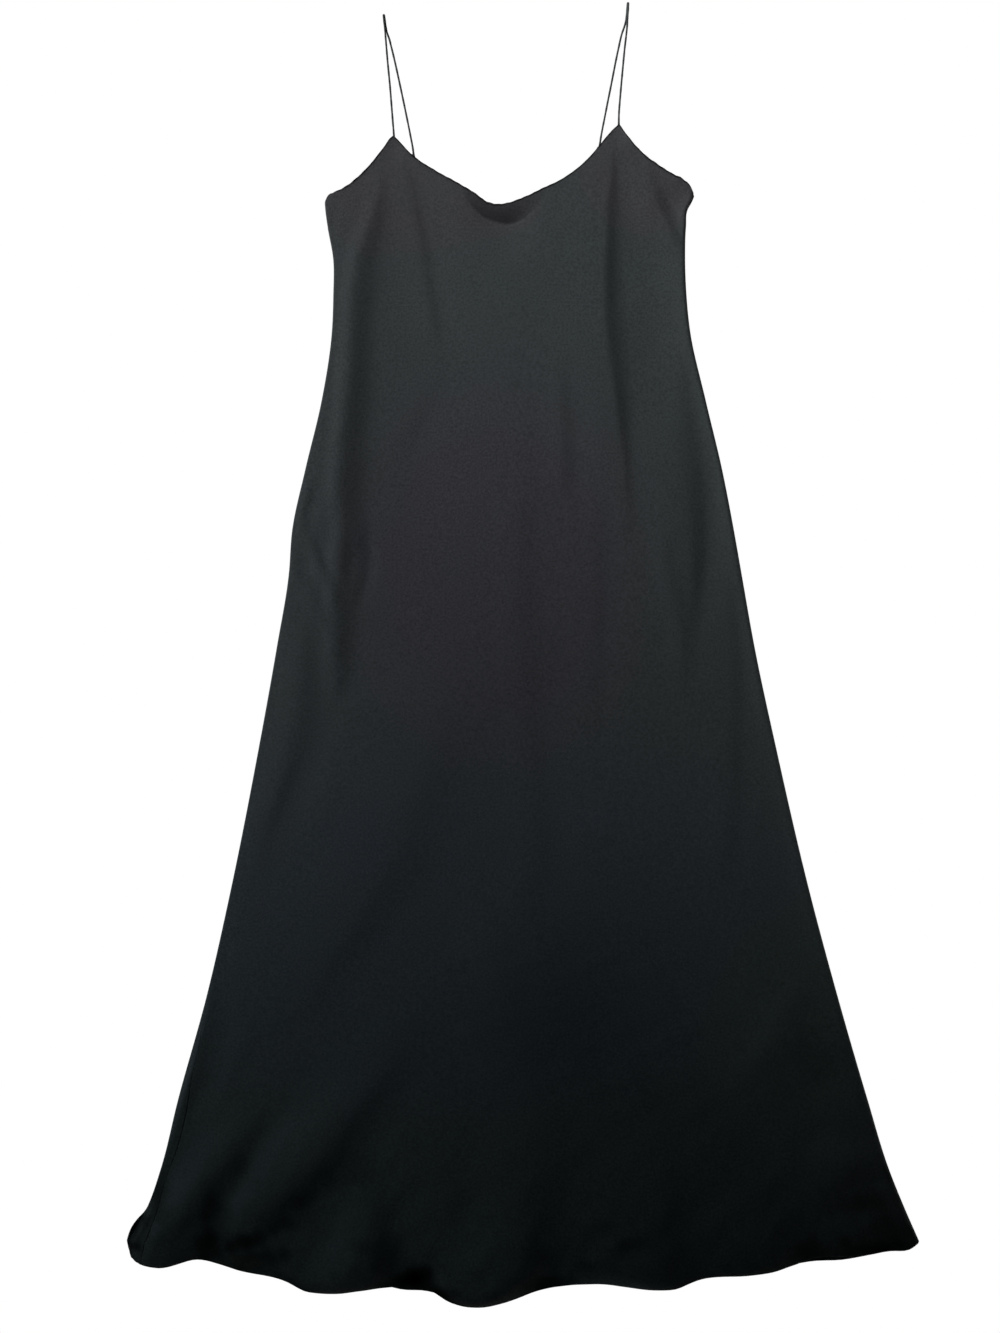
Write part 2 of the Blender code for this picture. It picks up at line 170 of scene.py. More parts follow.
# Folds of the front. Each has a slope that falls to the right from a crest, given as x, y, the drop
# there and the widths of the climb to the crest and of the slope. after is the width over which the
# cloth climbs out of the dip, share is how much of the drop stands above the cloth around it, and
# steep is the share of the slope's width where it is steepest. Where a drop is negative, the crest
# is the bottom of a dip and the slope rises to the right
Fold = namedtuple("Fold", "name after share steep crest")
FOLDS = (
    Fold("left_bust", 168, 0.28, 0.34, (
        (-154, 565, 0, 16, 9), (-160, 531, 0.7, 16, 16), (-165, 509, 1.6, 16, 20),
        (-172, 487, 2.8, 16, 30), (-181, 464, 3.8, 16, 40), (-188, 442, 4.6, 16, 47),
        (-193, 408, 5.2, 16, 47), (-196, 352, 5.4, 16, 45), (-199, 307, 5.8, 16, 47),
        (-203, 263, 6, 16, 48), (-208, 218, 6.2, 16, 52), (-209, 173, 6.2, 16, 50),
        (-205, 139, 5.4, 16, 44), (-209, 106, 5.4, 16, 41), (-211, 81, 5, 16, 43),
        (-214, 50, 4.6, 16, 42), (-213, 16, 4.2, 16, 39), (-212, -17, 3.2, 16, 34),
        (-212, -57, 0, 16, 27),
    )),
    Fold("left_drag", 34, 0.5, 0.5, (
        (-143, 565, 0, 28, 10), (-134, 537, 0.7, 28, 12), (-125, 498, 1.1, 28, 13),
        (-118, 464, 1.2, 28, 13), (-115, 431, 1.2, 28, 15), (-108, 397, 1.1, 28, 15),
        (-104, 363, 0.8, 28, 15), (-98, 324, 0, 28, 15),
    )),
    Fold("left_soft", 34, 0.5, 0.5, (
        (-107, 319, 0, 34, 25), (-122, 285, 0.6, 34, 27), (-136, 251, 0.8, 34, 27),
        (-145, 223, 0.5, 34, 27), (-152, 190, 0, 34, 25),
    )),
    Fold("right_bust", 63, 0.36, 0.26, (
        (99, 570, 0, 90, 8), (98, 548, 1.1, 90, 15), (94.5, 515, 2.2, 90, 22),
        (92.5, 487, 3, 90, 27), (91.5, 464, 3.6, 90, 30), (90.5, 436, 4.1, 90, 33),
        (89.5, 397, 4.6, 90, 39), (90, 369, 4.8, 90, 43), (93, 341, 4.7, 90, 42),
        (98, 313, 4.2, 90, 37), (102, 285, 4, 90, 33), (105, 257, 3.2, 90, 27),
        (110, 229, 2.2, 90, 22), (113, 195, 1.3, 90, 18), (115, 162, 0.8, 90, 16),
        (116, 123, 0, 90, 15),
    )),
    Fold("right_underarm", 18, 0.8, 0.5, (
        (136, 554, 0, 38, 10), (140, 531, 0.8, 38, 14), (147, 509, 1.8, 38, 16),
        (156, 487, 2.2, 38, 16), (165, 466, 2.1, 38, 15), (174, 446, 0, 38, 12),
    )),
    Fold("right_seam", 40, 0.95, 0.64, (
        (172, 530, 0, 30, 18), (168, 513, -1.4, 30, 22), (160, 480, -1.1, 30, 24),
        (157, 442, -0.8, 34, 25), (158, 403, -0.8, 40, 26), (162, 363, -1.0, 50, 26),
        (179, 285, -1.6, 60, 26), (197, 207, -1.8, 60, 26), (210, 140, -1.8, 60, 26),
        (233, 10, -1.8, 60, 26), (258, -107, -1.8, 60, 26), (294.5, -264, -1.8, 60, 26),
        (314.5, -340, -1.3, 60, 26), (327.5, -387, -0.6, 60, 26), (339.5, -430, 0, 60, 26),
    )),
    Fold("right_side", 29, 0.45, 0.6, (
        (167, 341, 0, 52, 18), (165, 307, 1.1, 52, 25), (165, 274, 1.7, 52, 29),
        (167, 240, 2.3, 52, 34), (170, 212, 2.7, 52, 35), (176, 173, 3, 52, 31),
        (179, 139, 3.1, 52, 28), (181, 106, 3, 52, 24), (182, 78, 2.5, 52, 21),
        (181, 55, 1.7, 52, 20), (181, 33, 0.8, 52, 18), (181, 11, 0, 52, 16),
    )),
    Fold("right_low", 22, 0.5, 0.5, (
        (152, 145, 0, 20, 13), (154, 111, 0.8, 20, 15), (160, 83, 1, 20, 16),
        (168, 55, 1, 20, 17), (173, 27, 1.1, 20, 17), (176, -1, 1.1, 20, 16),
        (174, -29, 0.5, 20, 16), (173, -57, 0, 20, 13),
    )),
    Fold("right_hip", 22, 0.5, 0.5, (
        (226, 106, 0, 34, 13), (229, 39, 0.8, 34, 15), (231, -17, 1, 34, 16), (231, -96, 1, 34, 16),
        (227, -185, 0.9, 34, 17), (219, -230, 0.8, 34, 19), (209, -275, 0, 34, 19),
    )),
    Fold("faint_1", 29, 0.5, 0.5, (
        (37, 347, 0, 22, 16), (38, 307, 0.7, 22, 18), (39, 263, 1, 22, 19), (41, 218, 1.1, 22, 19),
        (42, 184, 0.6, 22, 18), (43, 156, 0, 22, 16),
    )),
    Fold("faint_2", 27, 0.5, 0.5, (
        (77, 207, 0, 22, 16), (78, 128, 0.5, 22, 17), (77, 61, 0.6, 22, 17), (74, -6, 0.5, 22, 17),
        (71, -73, 0.4, 22, 17), (69, -135, 0, 22, 16),
    )),
    Fold("faint_3", 45, 0.5, 0.5, (
        (-10, 207, 0, 34, 20), (-9, 151, 0.8, 34, 25), (-8, 83, 1, 34, 27), (-7, 16, 1, 34, 29),
        (-4, -51, 1, 34, 29), (2, -118, 1, 34, 28), (8, -174, 1, 34, 28), (10, -219, 1, 34, 28),
        (3, -264, 0.8, 34, 30), (-4, -314, 0, 34, 34),
    )),
    Fold("left_bust_low", 12, 0.5, 0.5, (
        (-186, 152, 0, 13, 11), (-185, 134, 0.8, 13, 13), (-184, 106, 1.2, 13, 14),
        (-187, 84, 1, 13, 14), (-193, 62, 0.5, 13, 13), (-197, 39, 0, 13, 12),
    )),
    Fold("hip_crease_1", 12, 0.5, 0.5, (
        (-239, 203, 0, 13, 9), (-243, 183, 1, 13, 10), (-249, 153, 1.1, 13, 10),
        (-245, 137, 0.9, 13, 10), (-240, 123, 0, 13, 9),
    )),
    Fold("hip_crease_2", 11, 0.5, 0.5, (
        (-241, 138, 0, 14, 8), (-237, 121, 1.3, 14, 10), (-228, 98, 1.9, 14, 10),
        (-217, 76, 1.5, 14, 10), (-208, 58, 0, 14, 9),
    )),
    Fold("hip_crease_3", 12, 0.5, 0.5, (
        (-249, 85, 0, 14, 9), (-242, 69, 1.3, 14, 11), (-232, 54, 1.6, 14, 11),
        (-226, 42, 1.1, 14, 11), (-219, 29, 0, 14, 9),
    )),
    Fold("hip_dip", 12, 0.4, 0.5, (
        (-262, 116, 0, 8, 18), (-264, 101, 1.4, 8, 21), (-262, 85, 1.4, 8, 21),
        (-256, 69, 0, 8, 18),
    )),
    Fold("left_side", 34, 0.5, 0.45, (
        (-247, 36, 0, 31, 13), (-250, 5, 1.2, 31, 20), (-253, -40, 1.8, 31, 29),
        (-258, -73, 2, 31, 36), (-267, -107, 2, 31, 34), (-275, -141, 2.1, 31, 29),
        (-286, -174, 1.8, 31, 27), (-297, -208, 1, 31, 27), (-311, -258, 0, 31, 22),
    )),
    Fold("left_apron", 134, 0.6, 0.26, (
        (-96, -40, 0, 118, 80), (-103, -96, 1.4, 118, 95), (-121, -141, 2.2, 118, 110),
        (-132, -174, 2.7, 118, 118), (-143, -208, 3, 118, 118), (-158, -241, 3, 118, 112),
        (-180, -275, 2.9, 118, 100), (-196, -309, 2.6, 118, 88), (-219, -342, 2.1, 118, 75),
        (-234, -376, 1.4, 118, 62), (-253, -409, 0.7, 118, 50), (-272, -443, 0, 118, 42),
    )),
    Fold("middle_valley", 168, 0.3, 0.5, (
        (-60, -197, 0, 56, 90), (-48, -253, 1.4, 56, 112), (-37, -303, 3, 56, 134),
        (-31, -342, 4.4, 56, 146), (-28, -376, 5.1, 56, 150), (-26, -409, 5.1, 56, 148),
        (-19, -443, 4.6, 56, 142), (-12, -482, 3.8, 56, 132), (-9, -533, 2.6, 56, 120),
        (-8, -585, 1.2, 56, 105), (-8, -640, 0, 56, 95),
    )),
    Fold("right_sweep", 60, 0.9, 0.5, (
        (316, -335, 0, 34, 28), (308, -365, 0.6, 34, 30), (299, -387, 1.5, 34, 34),
        (288, -409, 2.2, 34, 40), (280, -432, 2.7, 36, 48), (266, -454, 2.2, 40, 60),
        (254, -476, 1.2, 44, 74), (242, -500, 0, 48, 84),
    )),
    Fold("right_dip", 34, 0.4, 0.5, (
        (158, -490, 0, 45, 78), (164, -519, 1.4, 45, 90), (171, -544, 2.4, 45, 94),
        (187, -566, 2.2, 45, 83), (200, -593, 0, 45, 74),
    )),
    Fold("left_roll", 16, 0.75, 0.4, (
        (-355, -331, 0, 9, 18), (-359, -370, 1.2, 9, 25), (-363, -404, 2.2, 9, 31),
        (-371, -437, 3.2, 9, 36), (-380, -465, 3.8, 9, 38), (-391, -499, 3.8, 9, 36),
        (-401, -527, 3.2, 9, 34), (-412, -561, 2.2, 9, 29), (-421, -594, 1.3, 9, 25),
        (-427, -628, 0.6, 9, 22), (-432, -661, 0, 9, 22),
    )),
    Fold("flute_left", 26, 0.7, 0.5, (
        (-299, -482, 0, 31, 29), (-309, -510, 0.9, 36, 31), (-318, -533, 2.2, 47, 36),
        (-330, -549, 3.8, 47, 38), (-340, -566, 5.4, 47, 40), (-353, -583, 6.8, 46, 43),
        (-367, -600, 8.2, 46, 46), (-379, -615, 8.6, 46, 49), (-388, -630, 8.8, 46, 52),
        (-398, -643, 8.8, 44, 56), (-407, -658, 8.6, 40, 61), (-414, -680, 8, 36, 70),
    )),
    Fold("flute_big", 34, 0.9, 0.42, (
        (-140, -398, 0, 78, 52), (-147, -432, 1, 90, 52), (-163, -468, 2.4, 92, 54),
        (-181, -492, 3.8, 90, 54), (-202, -517, 5.2, 88, 56), (-218, -536, 6.4, 84, 58),
        (-231, -557, 6.9, 86, 58), (-245, -575, 6.8, 86, 56), (-258, -591, 6.7, 84, 54),
        (-270, -604, 6.5, 80, 53), (-283, -618, 6.1, 74, 52), (-296, -630, 5.3, 66, 52),
        (-311, -643, 3.8, 56, 54), (-328, -657, 2.1, 46, 57), (-346, -676, 0, 36, 60),
    )),
    Fold("flute_lobe", 22, 0.9, 0.45, (
        (-169, -593, 0, 45, 27), (-171, -615, 1.8, 49, 30), (-173, -633, 3.8, 52, 34),
        (-176, -647, 5.8, 52, 40), (-180, -659, 7.6, 54, 46), (-184, -671, 9, 56, 52),
        (-188, -685, 9.6, 58, 58), (-194, -712, 9.4, 60, 64),
    )),
    Fold("flute_small", 18, 0.9, 0.5, (
        (-169, -662, 0, 16, 13), (-167, -676, 1.6, 16, 16), (-169, -692, 2.4, 16, 18),
        (-174, -714, 2.6, 16, 20),
    )),
    Fold("flute_middle_left", 22, 0.9, 0.5, (
        (-84, -544, 0, 45, 22), (-85, -572, 0.6, 52, 25), (-85, -600, 1.1, 52, 27),
        (-87, -624, 1.2, 49, 27), (-89, -647, 0.8, 45, 27), (-91, -669, 0, 40, 25),
    )),
    Fold("flute_middle", 45, 0.9, 0.5, (
        (10, -510, 0, 67, 56), (5, -555, 1.4, 78, 56), (-1, -589, 2.6, 78, 56),
        (-4, -615, 4, 81, 56), (-6, -640, 5.8, 94, 56), (-9, -661, 7.8, 104, 56),
        (-12, -680, 9.8, 110, 56), (-19, -698, 11, 94, 60), (-33, -723, 11.6, 83, 67),
    )),
    Fold("flute_right_1", 52, 0.85, 0.42, (
        (148, -538, 0, 90, 29), (150, -572, 1.1, 90, 34), (152, -605, 2.3, 90, 40),
        (152, -633, 2.8, 90, 42), (152, -661, 3.2, 90, 42), (150, -712, 3.6, 90, 42),
    )),
    Fold("flute_right_2", 45, 0.85, 0.5, (
        (270, -572, 0, 74, 45), (268, -602, 1.2, 74, 52), (266, -628, 2.3, 74, 56),
        (265, -656, 3.3, 74, 58), (263, -695, 4, 74, 58),
    )),
)

# Soft mounds and dents: place, half widths along x and y, and height
Mound = namedtuple("Mound", "name x y half_x half_y height")
MOUNDS = (
    Mound("corner_lobe", 358, -568, 58, 42, 5.0),
    Mound("corner_rise", 362, -515, 46, 40, 1.6),
    Mound("hem_notch", 122, -668, 26, 17, -1.4),
    Mound("hem_trough", -328, -695, 90, 46, -5.0),
    Mound("hem_wedge", -118, -704, 38, 34, -4.0),
    Mound("neck_lift", -24, 500, 190, 150, 3.4),
)

# Patches of painted shade, which darken the cloth's colour and sheen deep in its folds and in
# wide shallow valleys: place, half widths, and the share of the colour that the shade takes away
ShadePatch = namedtuple("ShadePatch", "name x y half_x half_y share")
SHADE_PATCHES = (
    ShadePatch("ear_1", -430, -628, 8, 8, 0.6),
    ShadePatch("ear_2", -437, -636, 8, 9, 0.65),
    ShadePatch("ear_3", -443, -646, 8, 9, 0.5),
    ShadePatch("ear_fold", -438, -662, 22, 10, 0.85),
    ShadePatch("ear", -436, -642, 24, 34, 0.7),
    ShadePatch("roll", -412, -606, 28, 48, 0.5),
    ShadePatch("trough_left", -352, -656, 24, 38, 0.85),
    ShadePatch("trough_crest", -336, -628, 24, 30, 0.35),
    ShadePatch("trough_streak", -351, -620, 17, 44, 0.45),
    ShadePatch("lobes", -262, -622, 100, 62, 0.16),
    ShadePatch("trough_right", -312, -656, 40, 18, 0.7),
    ShadePatch("trough_top", -317, -572, 20, 28, 0.25),
    ShadePatch("flute_foot", -214, -588, 26, 20, 0.3),
    ShadePatch("flute_side", -188, -578, 42, 36, 0.2),
    ShadePatch("lobe_foot", -182, -660, 20, 16, 0.3),
    ShadePatch("trough_hem", -300, -674, 62, 24, 0.5),
    ShadePatch("lobe_top", -268, -636, 22, 17, 0.45),
    ShadePatch("lobe_left", -250, -612, 22, 18, 0.4),
    ShadePatch("wedge", -122, -700, 44, 24, 1.0),
    ShadePatch("wedge_hem", -92, -716, 28, 12, 0.7),
    ShadePatch("lobe_side", -148, -672, 22, 40, 0.35),
    ShadePatch("middle_hem", 28, -704, 42, 16, 0.6),
    ShadePatch("middle_left", 16, -668, 18, 26, 0.3),
    ShadePatch("middle_right", 72, -684, 20, 11, 0.35),
    ShadePatch("below_bend", 92, -640, 60, 14, 0.14),
    ShadePatch("notch", 118, -658, 24, 16, 0.3),
    ShadePatch("skirt_valley", 50, -410, 190, 120, 0.13),
    ShadePatch("right_valley", 150, -505, 80, 70, 0.1),
    ShadePatch("right_shade", 330, -452, 62, 46, 0.17),
    ShadePatch("right_trough", 318, -668, 30, 20, 0.5),
    ShadePatch("right_edge", 378, -612, 56, 24, 0.45),
    ShadePatch("right_corner", 414, -646, 52, 40, 0.4),
    ShadePatch("right_end", 420, -572, 24, 44, 0.5),
    ShadePatch("right_hem", 390, -666, 60, 20, 0.75),
)
DARK_RAGGED = 0.5  # how uneven the outlines of these patches are, and the scale of that
DARK_RAGGED_SCALE = 9.0
EDGE_PAINTED_SHADE = 1.0  # how much painted shade darkens the turned top edge, and how far in, as x and width
EDGE_SHADE_WIDTH = (
    (-212, 0.3), (-204, 2.4), (-178, 3.4), (-155, 3.0), (-140, 2.4),
    (110, 2.4), (125, 2.6), (182, 2.4), (190, 0.3),
)
EDGE_SHADE_POWER = 4  # the higher, the sharper this painted shade ends
# How much painted shade darkens the hem's edge, as x and share, and how far in. Where its lip
# turns up to the light the share is negative and the edge gets a painted highlight
HEM_SHADE_AND_HIGHLIGHT = (
    (-440, 0.2), (-250, 0.35), (-200, 0.35), (-80, 0.55), (-20, 0.55), (30, 0.35), (55, 0.0),
    (80, -0.7), (115, -0.6), (150, -0.2), (190, 0.15), (440, 0.2),
)
HEM_SHADE_WIDTH = 10.0
EDGE_DASH = 1.9  # scale of the dashes of the turned top edge's painted shade, and of its waves
DASH_DEPTH = 0.9  # how much paler the gaps between the painted shade's dashes can be
DASH_SEED = 0.9
EDGE_WAVE = 0.6  # height of the waves
EDGE_WAVE_SEED = 0.4

# The neckline's small cowl: a dent behind a soft lip. The lip's line, as x and y
COWL_LIP = (
    (-70, 526), (-66, 514), (-60, 505), (-54, 499), (-46, 492), (-36, 487), (-26, 484),
    (-16, 482.5), (-6, 485), (4, 491), (12, 499), (18, 507), (26, 523),
)
COWL_DEPTH = 3.0
COWL_X = -24.0  # its middle, and the half width over which it is as deep
COWL_HALF = 50.0
COWL_ROOM = 15.0  # distance from the lip to the neckline where the dent is at its deepest
COWL_RIM = 4.0  # distance over which the cloth climbs most of the way out of the dent
COWL_RIM_SHARE = 0.35
COWL_FADE = 60.0
LEAST_ROOM = 1e-6  # keeps the shares of the room above the lip from a division by 0
# Painted shade in the dent: the share of the colour that it takes away at the lip, as x and share,
# how far below the lip it reaches, and how much of it is gone at the neckline, at the lip's left
# and right end
COWL_PAINTED_SHADE = (
    (-70, 0), (-61, 0.3), (-47, 0.45), (-32, 0.52), (-19, 0.62), (-8, 0.48), (3, 0.32),
    (14, 0.2), (26, 0),
)
COWL_SHADE_BELOW = 3.5
COWL_CLEAR_LEFT = 0.45
COWL_CLEAR_RIGHT = 1.0

# Grids: distances from an edge, in mm, where rows or columns stand, and how many lie between
EDGE_STEPS = (0.0, 0.35, 0.7, 1.05, 1.4, 1.75, 2.1, 3.0, 4.5, 6.5, 9.0, 12.0)
FRONT_COLUMNS = (28, 90, 30)  # left of the left point, between the points, right of them
BACK_COLUMNS = (22, 60, 22)
HEM_STEPS = (1.2, 2.0, 3.2) + tuple(np.arange(5, 82, 3.5))
TOP_STEPS = (1.1, 1.7, 2.4, 3.3, 4.5, 6, 7.5) + tuple(np.arange(9, 62, 1.9)) + (65, 69, 74, 80)
FRONT_ROWS = 150
BACK_ROWS = 90
# Back columns from the left seam round the edge: how many, the share of them that comes before
# their middle, and the middle's place, a share of the roll's width less a share of the side's arc
ROLL_COLUMNS = 26
ROLL_MIDDLE = 0.4
ROLL_MIDDLE_IN = 0.7
ROLL_MIDDLE_BACK = 0.4
# A turned edge, from its inner end round the nose: distance in from the edge and depth below the
# outer surface
TURNED_EDGE = (
    (8.0, TURN), (4.0, TURN), (0.6, TURN), (0.3, 1.12), (0.09, 0.9), (0.0, 0.6), (0.09, 0.3),
    (0.3, 0.08), (0.6, 0.0),
)

STRAP_RADIUS = 1.1
STRAP_BUMPS = ((0.05, 2.9, 0), (0.04, 1.3, 1))  # its unevenness: share, scale in mm and start
STRAP_Z = 1.3  # height of its middle where it lies on the floor
STRAP_STEP = 1.6  # distance between its rings
STRAP_SIDES = 16
# The fold at the shoulder: how far it turns past its ends, how far it leans to a side, and half of
# the front leg's height over the back leg
STRAP_FOLD_REACH = 1.15
STRAP_FOLD_LEAN = 0.45
STRAP_FOLD_RISE = 1.15
STRAP_FOLD_STEPS = 12
# The sewn seam, in radians round the strap: its place at the front end, its twist a mm, how far it
# sways and the scale of that in mm, and its half width. Its depth is in mm
STRAP_SEAM = 1.1
STRAP_TWIST = 0.02
STRAP_SWAY = 0.5
STRAP_SWAY_SCALE = 23
STRAP_SEAM_WIDTH = 0.35
STRAP_SEAM_DEPTH = 0.14
STRAP_ROOT = 6.0  # length over which a strap's end flattens into its panel's point, and how flat
STRAP_ROOT_FLAT = 0.35

# Straps: where the fold at the shoulder is, the side that the back leg lies on, and the places
# that each leg passes on its way from its panel to the fold, as x, y and z
Strap = namedtuple("Strap", "name fold_x fold_y back_side front_leg back_leg")
STRAPS = (
    Strap(
        "strap_left", -156.1, 715.2, 1,
        front_leg=(
            (-144.8, 577.0, 2.05), (-145.0, 581.9, 2.0), (-146.2, 597, 1.6),
            (-147.4, 612, STRAP_Z), (-149.4, 637, STRAP_Z), (-152.0, 664, 1.5),
            (-154.0, 688, 2.4), (-155.2, 702, 3.4),
        ),
        back_leg=(
            (-122.6, 557.5, 1.1), (-123.6, 566, 1.2), (-126.8, 583, STRAP_Z),
            (-137.9, 637, STRAP_Z), (-145.2, 670, STRAP_Z), (-148.4, 683, STRAP_Z),
            (-150.2, 690, STRAP_Z), (-152.4, 696, STRAP_Z), (-154.0, 703, STRAP_Z),
        ),
    ),
    Strap(
        "strap_right", 117.2, 728.6, -1,
        front_leg=(
            (107.0, 591.0, 2.05), (107.0, 595.9, 2.0), (107.2, 606, 1.6), (108.4, 622, STRAP_Z),
            (111.5, 657, STRAP_Z), (113.6, 679, 1.6), (116.1, 702, 2.6), (116.9, 715, 3.4),
        ),
        back_leg=(
            (85.4, 568.5, 1.1), (86.6, 577, 1.2), (92.8, 610, STRAP_Z), (98.2, 637, STRAP_Z),
            (106.2, 677, STRAP_Z), (110.6, 696, STRAP_Z), (114.0, 706, STRAP_Z),
            (115.8, 716, STRAP_Z),
        ),
    ),
)

# The blacks of the cloth. It is greener at the sides, warmer at the waist and the top, bluer on the
# skirt but greener low on its right, and olive where the hem turns. Each patch of another black has
# a place and half widths, and lies over the patches before it
GREEN_BLACK = (0.0100, 0.0124, 0.0128)
WARM_BLACK = (0.0134, 0.0108, 0.0155)
BROWN_BLACK = (0.0140, 0.0114, 0.0132)
BLUE_BLACK = (0.0092, 0.0120, 0.0165)
SEA_BLACK = (0.0086, 0.0138, 0.0124)
OLIVE_BLACK = (0.0120, 0.0118, 0.0085)
STRAP_BLACK = (0.0088, 0.0085, 0.0090)
Patch = namedtuple("Patch", "name x y half_x half_y black")
PATCHES = (
    Patch("skirt", -30, -300, 520, 290, BLUE_BLACK),
    Patch("right_skirt", 300, -425, 130, 180, SEA_BLACK),
    Patch("waist", -30, 90, 230, 300, WARM_BLACK),
    Patch("left_bust", -120, 535, 190, 120, BROWN_BLACK),
    Patch("neck", -30, 500, 70, 40, BROWN_BLACK),
    Patch("right_bust", 140, 550, 115, 115, BROWN_BLACK),
    Patch("hem_turn", -322, -682, 46, 16, OLIVE_BLACK),
)
PATCH_CORE = 2  # a patch has all of its black within its half widths divided by this

# Crepe: how far its black drifts between two tints, and the tint of its dull sheen. Scales are in
# waves a metre
DRIFT_TINTS = ((0.90, 1.02, 0.93), (1.10, 0.98, 1.07))
CREPE_SHEEN = (0.88, 1.0, 1.03)
CREPE_ROUGHNESS = 0.8
CREPE_SPECULAR = 0.5
DRIFT_SCALE = 14.0
DRIFT_DETAIL = 2.0
MOTTLE_SCALE = 420.0
MOTTLE = 0.5
GRAIN_SCALE = 900.0
GRAIN_STRENGTH = 0.7
GRAIN_DEPTH = 0.35
FINE_DETAIL = 3.0  # of the mottle and the grain

WHITE = (1.0, 1.0, 1.0, 1.0)
BLACK = (0.0, 0.0, 0.0, 1.0)
FLOOR_WIDTH = 60.0  # in metres
FLOOR_GAP = 0.5  # how far below the dress the floor lies

# Lamps, in metres and watts: soft beams that have faded away at the distance reach from their aim
WORLD_FILL = 0.0075  # strength of the world's light on the dress
LAMP_SOFTNESS = 0.3
Lamp = namedtuple("Lamp", "name place aim reach watts colour")
LAMPS = (
    Lamp("left_low", (-3.4, 0.6, 0.7), (-0.5, 0.5, 0.0), 0.95, 300, (1.0, 1.0, 1.0)),
    Lamp("top", (-1.2, 2.0, 2.3), (-0.42, 0.18, 0.0), 0.51, 262, (1.05, 1.0, 1.05)),
    Lamp("left_high", (-2.8, 0.8, 1.7), (-0.63, -0.28, 0.0), 0.62, 145, (0.76, 1.0, 1.04)),
    Lamp("top_left", (-1.4, 1.8, 1.7), (0.75, 0.6, 0.0), 1.25, 466, (1.0, 1.0, 1.0)),
    Lamp("right", (2.2, 0.6, 2.3), (0.42, -0.05, 0.0), 0.48, 82, (1.0, 1.0, 1.0)),
    Lamp("bust", (-0.9, 2.2, 1.4), (0.10, 0.69, 0.0), 0.34, 98, (1.0, 1.0, 1.0)),
    Lamp("hem", (-2.3, 0.1, 1.5), (-0.04, -0.71, 0.0), 0.29, 46, (0.76, 1.0, 1.04)),
)

# Camera: straight above, with 1.12 mm of the dress to a pixel of the 1000 x 1333 frame
MM_PER_PIXEL = 1.12
FRAME_HEIGHT_PIXELS = 1333
CAMERA_X = -26.1
CAMERA_Y = -13.4
LENS = 50.0
SENSOR = 36.0


def smooth(points):
    """A smooth function through (at, value) points, level beyond both ends."""
    at, value = np.array(sorted(points), float).T
    slope = np.gradient(value, at)

    def curve(x):
        x = np.clip(x, at[0], at[-1])
        low = np.clip(np.searchsorted(at, x, side="right") - 1, 0, len(at) - 2)
        step = at[low + 1] - at[low]
        t = (x - at[low]) / step
        rise = t * t * (3 - 2 * t)
        leave = step * slope[low] * t * (1 - t) ** 2
        arrive = step * slope[low + 1] * t * t * (t - 1)
        return value[low] * (1 - rise) + value[low + 1] * rise + leave + arrive

    return curve


def bell(distance):
    """1 at distance 0, falling smoothly to 0 at distance 1 and beyond, on both sides."""
    return 0.5 + 0.5 * np.cos(math.pi * np.clip(distance, -1, 1))


def fall(distance, steep):
    """From 1 at distance 0 to 0 at distance 1, steepest at the share steep of the way."""
    if steep < 0.5:
        return 1 - fall(1 - np.clip(distance, 0, 1), 1 - steep)
    return bell(np.clip(distance, 0, 1) ** (math.log(0.5) / math.log(steep)))


def wobble(x, y, scale, seed):
    """A smooth uneven value around 0, from a few sines."""
    total = 0
    for i, (a, b) in enumerate(WAVES):
        finer = 1 + WAVE_FINER * i
        total = total + np.sin((x * a + y * b) / scale * finer + seed + WAVE_START * i)
    return total / len(WAVES)


def away_from(patch, x, y):
    """Distance from a patch or mound: 0 at its place, and 1 at its half widths."""
    return np.hypot((x - patch.x) / patch.half_x, (y - patch.y) / patch.half_y)


LEFT_EDGE = smooth([(side.y, side.left) for side in SIDES])
RIGHT_EDGE = smooth([(side.y, side.right) for side in SIDES])
ROLL = smooth(SEAM_ROLL)
CURL = smooth(CURL_REACH)
FRONT_HEM_Y = smooth(FRONT_HEM)


def points_of(edge):
    """The left and right point of a top edge, where the straps are sewn on."""
    return edge.neckline[0], edge.neckline[-1]


def top_height(edge, x):
    """The top edge's y at x: two armholes and a neckline that meet in sharp points."""
    left, middle, right = (smooth(stretch)(x) for stretch in edge)
    left_point, right_point = points_of(edge)
    in_neckline = (x >= left_point[0]) & (x <= right_point[0])
    return np.where(in_neckline, middle, np.where(x < left_point[0], left, right))


def fold_rise(fold, x, y):
    """How far a fold lifts the cloth, with its dips as negative values."""
    crest_x, crest_y, *measures = zip(*fold.crest)
    crest, drop, climb, width = (
        smooth(list(zip(crest_y, values)))(y) for values in (crest_x, *measures)
    )
    across = x - crest
    before = fold.share * fall(-across / climb, 0.5)
    slope = fold.share - 1 + fall(across / width, fold.steep)
    after = (fold.share - 1) * fall((across - width) / fold.after, 0.5)
    return drop * np.where(across < 0, before, np.where(across < width, slope, after))


def at_cowl(x, y):
    """The lip's y, the room from there up to the neckline, and y's share of the way up."""
    lip = smooth(COWL_LIP)(x)
    room = np.maximum(top_height(FRONT_TOP, x) - lip, LEAST_ROOM)
    return lip, room, np.clip((y - lip) / room, 0, 1)


def cowl_rise(x, y):
    """The cloth falls from the neckline to the lip's line, and climbs again below it."""
    lip, room, above = at_cowl(x, y)
    inside = (x > COWL_LIP[0][0]) & (x < COWL_LIP[-1][0])
    depth = COWL_DEPTH * np.where(inside, np.minimum(room / COWL_ROOM, 1), 0)
    depth = depth * bell((x - COWL_X) / COWL_HALF)
    below = np.maximum(lip - y, 0)
    rim = (1 - COWL_RIM_SHARE) * bell(below / COWL_FADE) + COWL_RIM_SHARE * bell(below / COWL_RIM)
    return -depth * np.where(y > lip, bell(above), rim)


